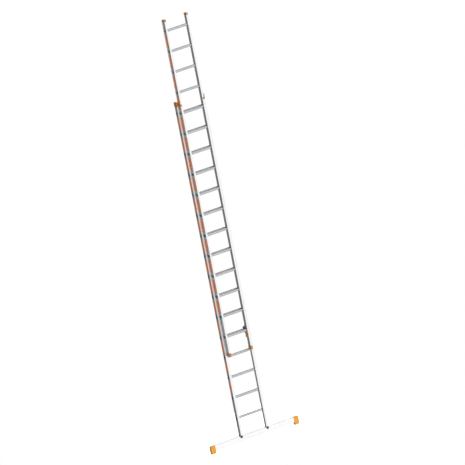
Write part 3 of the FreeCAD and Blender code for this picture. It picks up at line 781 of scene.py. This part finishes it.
@dataclass
class TopGuide:
    """Guide on top of a base stile: a hood, and a band that wraps round the fly stile."""

    corner: float = 3.0 * MM
    edge: float = 0.8 * MM
    lip: float = 3.3 * MM
    hood: float = 28.0 * MM
    neck: float = 6.0 * MM
    side_wall: float = 7.0 * MM
    front_wall: float = 4.0 * MM
    lid: float = 4.0 * MM
    wall: float = 2.0 * MM
    fit: float = 0.15 * MM
    gap: float = 0.1 * MM
    recess_border: float = 5.0 * MM
    recess_depth: float = 1.0 * MM

    def shape(self) -> Form:
        """Shapes the guide on the base stile's top."""
        low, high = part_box("base_top_guide_right")
        stile_low, stile_high = rail(Section.BASE)
        inner = stile_low.x - self.wall
        front = stile_low.y - self.wall
        slot = stile_low.y - self.fit
        cut = stile_low.x - self.gap
        outline = [(inner, front, 0.0), (high.x, front, self.corner), (high.x, high.y, self.corner),
                   (inner, high.y, self.corner), (inner, slot + self.lip, 0.0),
                   (cut, slot + self.lip, 0.0), (cut, slot, 0.0), (inner, slot, 0.0)]
        form = Form.plate(Plane.XY, outline, low.z, high.z)
        band_top = high.z - self.hood
        root = slot - self.neck
        form.push(-REARWARD, corner(inner, front - MM, low.z), corner(high.x, front + MM, band_top),
                  front - root)
        form.push(-OUTWARD, corner(inner - MM, root, low.z), corner(inner + MM, slot, band_top),
                  self.side_wall)
        side = inner - self.side_wall
        form.push(-REARWARD, corner(side, root - MM, low.z), corner(inner, root + MM, band_top),
                  root - low.y)
        form.push(-OUTWARD, corner(side - MM, low.y, low.z),
                  corner(side + MM, low.y + self.front_wall, band_top), side - low.x)
        form.push(-UP, corner(stile_low.x, stile_low.y, low.z - MM),
                  corner(stile_high.x, stile_high.y, low.z + MM), -(high.z - low.z - self.lid))
        form.recess(REARWARD, corner(inner, high.y - MM, low.z),
                    corner(high.x, high.y + MM, high.z), self.recess_border, self.recess_depth)
        form.soften(self.edge)
        return form


@dataclass
class FootGuide:
    """Foot of a fly stile: a cup with a treaded sole, and a ledge that backs the end of the guide lip."""

    corner: float = 3.0 * MM
    edge: float = 0.8 * MM
    outer_wall: float = 2.0 * MM
    treads: int = 5
    tread_border: float = 3.0 * MM
    tread_depth: float = 2.0 * MM
    lip: float = 3.3 * MM
    fit: float = 0.3 * MM

    def shape(self) -> Form:
        """Shapes the guide on the foot of the fly stile."""
        low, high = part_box("fly_foot_guide_right")
        stile_low, stile_high = rail(Section.FLY)
        outer = stile_high.x + self.outer_wall
        lip_front = stile_high.y - self.lip
        outline = [(low.x, low.y, self.corner), (outer, low.y, self.corner), (outer, lip_front, 0.0),
                   (stile_high.x, lip_front, 0.0), (stile_high.x, high.y, 0.0), (low.x, high.y, self.corner)]
        form = Form.plate(Plane.XY, outline, low.z, high.z)
        form.push(UP, corner(stile_low.x, stile_low.y, high.z - MM),
                  corner(stile_high.x - self.fit, stile_high.y - self.fit, high.z + MM),
                  stile_low.z - high.z)
        form.push(OUTWARD, corner(stile_high.x - MM, lip_front, low.z),
                  corner(stile_high.x + MM, high.y, stile_low.z), high.x - stile_high.x)
        form.grooves(-UP, corner(low.x, low.y, low.z - MM), corner(outer, high.y, low.z + MM), 1,
                     self.treads, self.tread_border, self.tread_depth)
        form.soften(self.edge)
        return form


@dataclass
class Shoe:
    """Shoe of a base stile: a saddle over the crossbar, and the plug inside the stile."""

    corner: float = 2.0 * MM
    edge: float = 0.8 * MM
    slot_corner: float = 0.5 * MM
    flange: float = 10.0 * MM
    plug_gap: float = 1.95 * MM

    def shape(self) -> Form:
        """Shapes the shoe between the crossbar and the base stile."""
        low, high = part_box("base_shoe_right")
        bar_low, bar_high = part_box("crossbar")
        top = bar_high.z + self.flange
        outline = [(low.y, low.z, self.corner), (bar_low.y, low.z, self.slot_corner),
                   (bar_low.y, bar_high.z, 0.0), (bar_high.y, bar_high.z, 0.0),
                   (bar_high.y, low.z, self.slot_corner), (high.y, low.z, self.corner),
                   (high.y, top, 0.0), (low.y, top, 0.0)]
        form = Form.plate(Plane.YZ, outline, low.x, high.x)
        gap = self.plug_gap
        form.push(UP, corner(low.x + gap, low.y + gap, top - MM),
                  corner(high.x - gap, high.y - gap, top + MM), high.z - top)
        form.soften(self.edge)
        return form


# What each moulded piece replaces: node stem, class, body stem and material slot
MOULDINGS = (
    ("crossbar_end_cap", EndCap, "base", "end_cap_plastic"),
    ("base_top_guide", TopGuide, "base", "guide_plastic"),
    ("base_shoe", Shoe, "base", "shoe_plastic"),
    ("fly_top_cap", TopCap, "fly", "cap_plastic"),
    ("fly_foot_guide", FootGuide, "fly", "guide_plastic"),
)


@dataclass
class Mouldings:
    """The detailed plastic pieces on both sides."""

    finishes: Finishes

    def build(self) -> None:
        """Builds each moulding, left and right, in place of its node."""
        for stem, maker, body, slot in MOULDINGS:
            for side in Side:
                name = f"{stem}_{side.word}"
                piece = maker().shape().piece(f"{name}_moulding", side)
                self.finishes.dress(piece, slot)
                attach(piece, body)
                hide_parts(name)


@dataclass
class Latches:
    """Hooks, catches and plates with their edges eased."""

    finishes: Finishes
    steel_edge: float = 0.7 * MM
    catch_edge: float = 1.0 * MM
    plate_edge: float = 0.4 * MM
    sharp_angle: float = 50.0

    def build(self) -> None:
        """Builds the eased pieces in place of their nodes."""
        for side in Side:
            self._ease(f"rung_hook_{side.word}", f"hook_{side.word}", "hook_steel", self.steel_edge)
            self._ease(f"safety_catch_{side.word}", f"catch_{side.word}", "catch_plastic", self.catch_edge)
            self._ease(f"latch_plate_{side.word}", "fly", "plate_steel", self.plate_edge)

    def _ease(self, node: str, body: str, slot: str, edge: float) -> None:
        """Replaces a node by its own shape with softened edges.

        Args:
            node: The node to replace.
            body: The body it moves with.
            slot: Its material slot.
            edge: Width of the softened edge.
        """
        form = Form.eased_copy(node)
        form.soften(edge, angle=self.sharp_angle)
        piece = form.piece(f"{node}_eased", Side.RIGHT)
        self.finishes.dress(piece, slot)
        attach(piece, body)
        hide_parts(node)


@dataclass
class Labels:
    """Plain orange film strips between the rungs, in the shallow channels of the outer faces."""

    finishes: Finishes
    width: float = 41.0 * MM
    share: float = 0.63
    thickness: float = 0.35 * MM
    corner: float = 4.0 * MM
    flare: float = 1.5 * MM
    bare_gaps: int = 1

    def build(self) -> None:
        """Builds one piece of strips for each stile."""
        for section in Section:
            for side in Side:
                piece = self._strips(section).piece(f"{section.value}_labels_{side.word}", side)
                self.finishes.dress(piece, LABEL_SLOT)
                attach(piece, section.value)

    def _strips(self, section: Section) -> Form:
        """The strips of the section's right-hand stile.

        Args:
            section: The section to label.

        Returns:
            One form that holds all the strips.
        """
        boxes = [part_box(name) for name in section.rungs()]
        whole = Form()
        for (low, high), (next_low, next_high) in zip(boxes[self.bare_gaps:], boxes[self.bare_gaps + 1:]):
            face = high.x - self.flare
            centre_y = (low.y + high.y) / 2
            centre_z = (low.z + next_high.z) / 2
            half = (next_low.z - low.z) * self.share / 2
            side = self.width / 2
            low_z, high_z = centre_z - half, centre_z + half
            outline = [(centre_y + way * side, level, self.corner)
                       for way, level in ((-1, low_z), (1, low_z), (1, high_z), (-1, high_z))]
            whole.join(Form.plate(Plane.YZ, outline, face, face + self.thickness))
        return whole


# Studio

@dataclass(frozen=True)
class Studio:
    """Floor, light and camera. The ladder leans in use, so the camera is tipped by its lean."""

    lean: float = math.radians(70.0)
    heading: float = math.radians(32.5)
    elevation: float = math.radians(33.0)
    film_width: float = 36.0
    picture_width: float = 6.092
    picture_right: float = -0.2334
    picture_up: float = 2.3686
    distance: float = 120.0
    floor_size: float = 2.6
    floor_glow: float = 1.0
    wall_light: float = 0.22
    box_light: float = 1.15
    back_light: float = 0.60
    box_edge: tuple[float, float] = (0.35, 0.80)
    back_edge: tuple[float, float] = (0.55, 0.95)
    key_light: float = 0.7
    key_spread: float = 40.0
    fill_light: float = 0.9
    fill_spread: float = 50.0
    box_towards: Vector = Vector((0.42, -0.90, -0.12))
    back_towards: Vector = Vector((0.55, 0.75, 0.35))
    key_towards: Vector = Vector((0.45, -0.80, 0.42))
    fill_towards: Vector = Vector((-0.85, -0.35, 0.40))

    def _axes(self) -> tuple[Vector, Vector, Vector]:
        """The camera's right, up and backward directions in the ladder's frame."""
        tip = Matrix.Rotation(math.pi / 2 - self.lean, 3, "X")
        turn, rise = self.heading, self.elevation
        right = Vector((math.cos(turn), -math.sin(turn), 0.0))
        back = Vector((-math.sin(turn) * math.cos(rise), -math.cos(turn) * math.cos(rise), math.sin(rise)))
        return tip @ right, tip @ back.cross(right), tip @ back

    def camera(self) -> None:
        """Places the camera by the lowest rung of the base."""
        right, up, back = self._axes()
        low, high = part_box(Section.BASE.rungs()[0])
        aim = (low + high) / 2 + right * self.picture_right + up * self.picture_up
        data = bpy.data.cameras.new("camera")
        data.sensor_width = self.film_width
        data.lens = data.sensor_width * self.distance / self.picture_width
        data.clip_start, data.clip_end = 1.0, 4.0 * self.distance
        camera = bpy.data.objects.new("camera", data)
        turned = Matrix((right, up, back)).transposed().to_4x4()
        camera.matrix_world = Matrix.Translation(aim + back * self.distance) @ turned
        bpy.context.scene.collection.objects.link(camera)
        bpy.context.scene.camera = camera

    def floor(self) -> None:
        """A plain pale floor under the end caps."""
        form = Form()
        bmesh.ops.create_grid(form.mesh, x_segments=1, y_segments=1, size=self.floor_size / 2)
        floor = form.piece("floor", Side.RIGHT)
        nodes = Surface("pale_floor")
        mottle = nodes.noise(3.0, detail=2.0)
        colour = nodes.mix(mottle, (0.90, 0.90, 0.90), (0.92, 0.92, 0.92))
        floor.data.materials.append(nodes.dress(Base_Color=colour, Roughness=0.9, Emission_Color=WHITE,
                                                Emission_Strength=self.floor_glow))
        floor.visible_glossy = False
        floor.visible_diffuse = False

    def dome(self) -> None:
        """A white backdrop, and a dome of light: a wide soft box in front, and dim walls elsewhere."""
        world = bpy.data.worlds.new("dome")
        bpy.context.scene.world = world
        world.use_nodes = True
        nodes = Nodes(world.node_tree)
        direction = nodes.add("TexCoord", output="Generated")
        box = nodes.facing(direction, self.box_towards.normalized(), *self.box_edge)
        back = nodes.facing(direction, self.back_towards.normalized(), *self.back_edge)
        light = self.wall_light + box * self.box_light + back * self.back_light
        seen = nodes.add("LightPath", output="Is Camera Ray")
        strength = light * (1.0 - seen) + seen
        shell = nodes.add("Background", inputs={"Color": (*WHITE, 1.0), "Strength": strength})
        nodes.add("OutputWorld", inputs={"Surface": shell}, output=None)

    def lamp(self, name: str, direction: Vector, strength: float, spread: float) -> None:
        """A distant soft lamp.

        Args:
            name: The lamp's name.
            direction: The way its light travels.
            strength: Its strength.
            spread: Its angular size in degrees.
        """
        data = bpy.data.lights.new(name, "SUN")
        data.energy = strength
        data.angle = math.radians(spread)
        lamp = bpy.data.objects.new(name, data)
        lamp.rotation_euler = direction.to_track_quat("-Z", "Y").to_euler()
        bpy.context.scene.collection.objects.link(lamp)

    def build(self) -> None:
        """Builds the camera, the floor and the lights."""
        self.camera()
        self.floor()
        self.dome()
        self.lamp("key", -self.key_towards, self.key_light, self.key_spread)
        self.lamp("fill", -self.fill_towards, self.fill_light, self.fill_spread)
        bpy.context.scene.view_settings.view_transform = "Standard"


def main() -> None:
    """Builds the studio, then dresses and details the ladder."""
    logging.basicConfig(level=logging.INFO, format="%(name)s %(message)s")
    Studio().build()
    finishes = Finishes()
    finishes.dress_nodes()
    Mouldings(finishes).build()
    Latches(finishes).build()
    Labels(finishes).build()


if __name__ == "__main__":
    main()
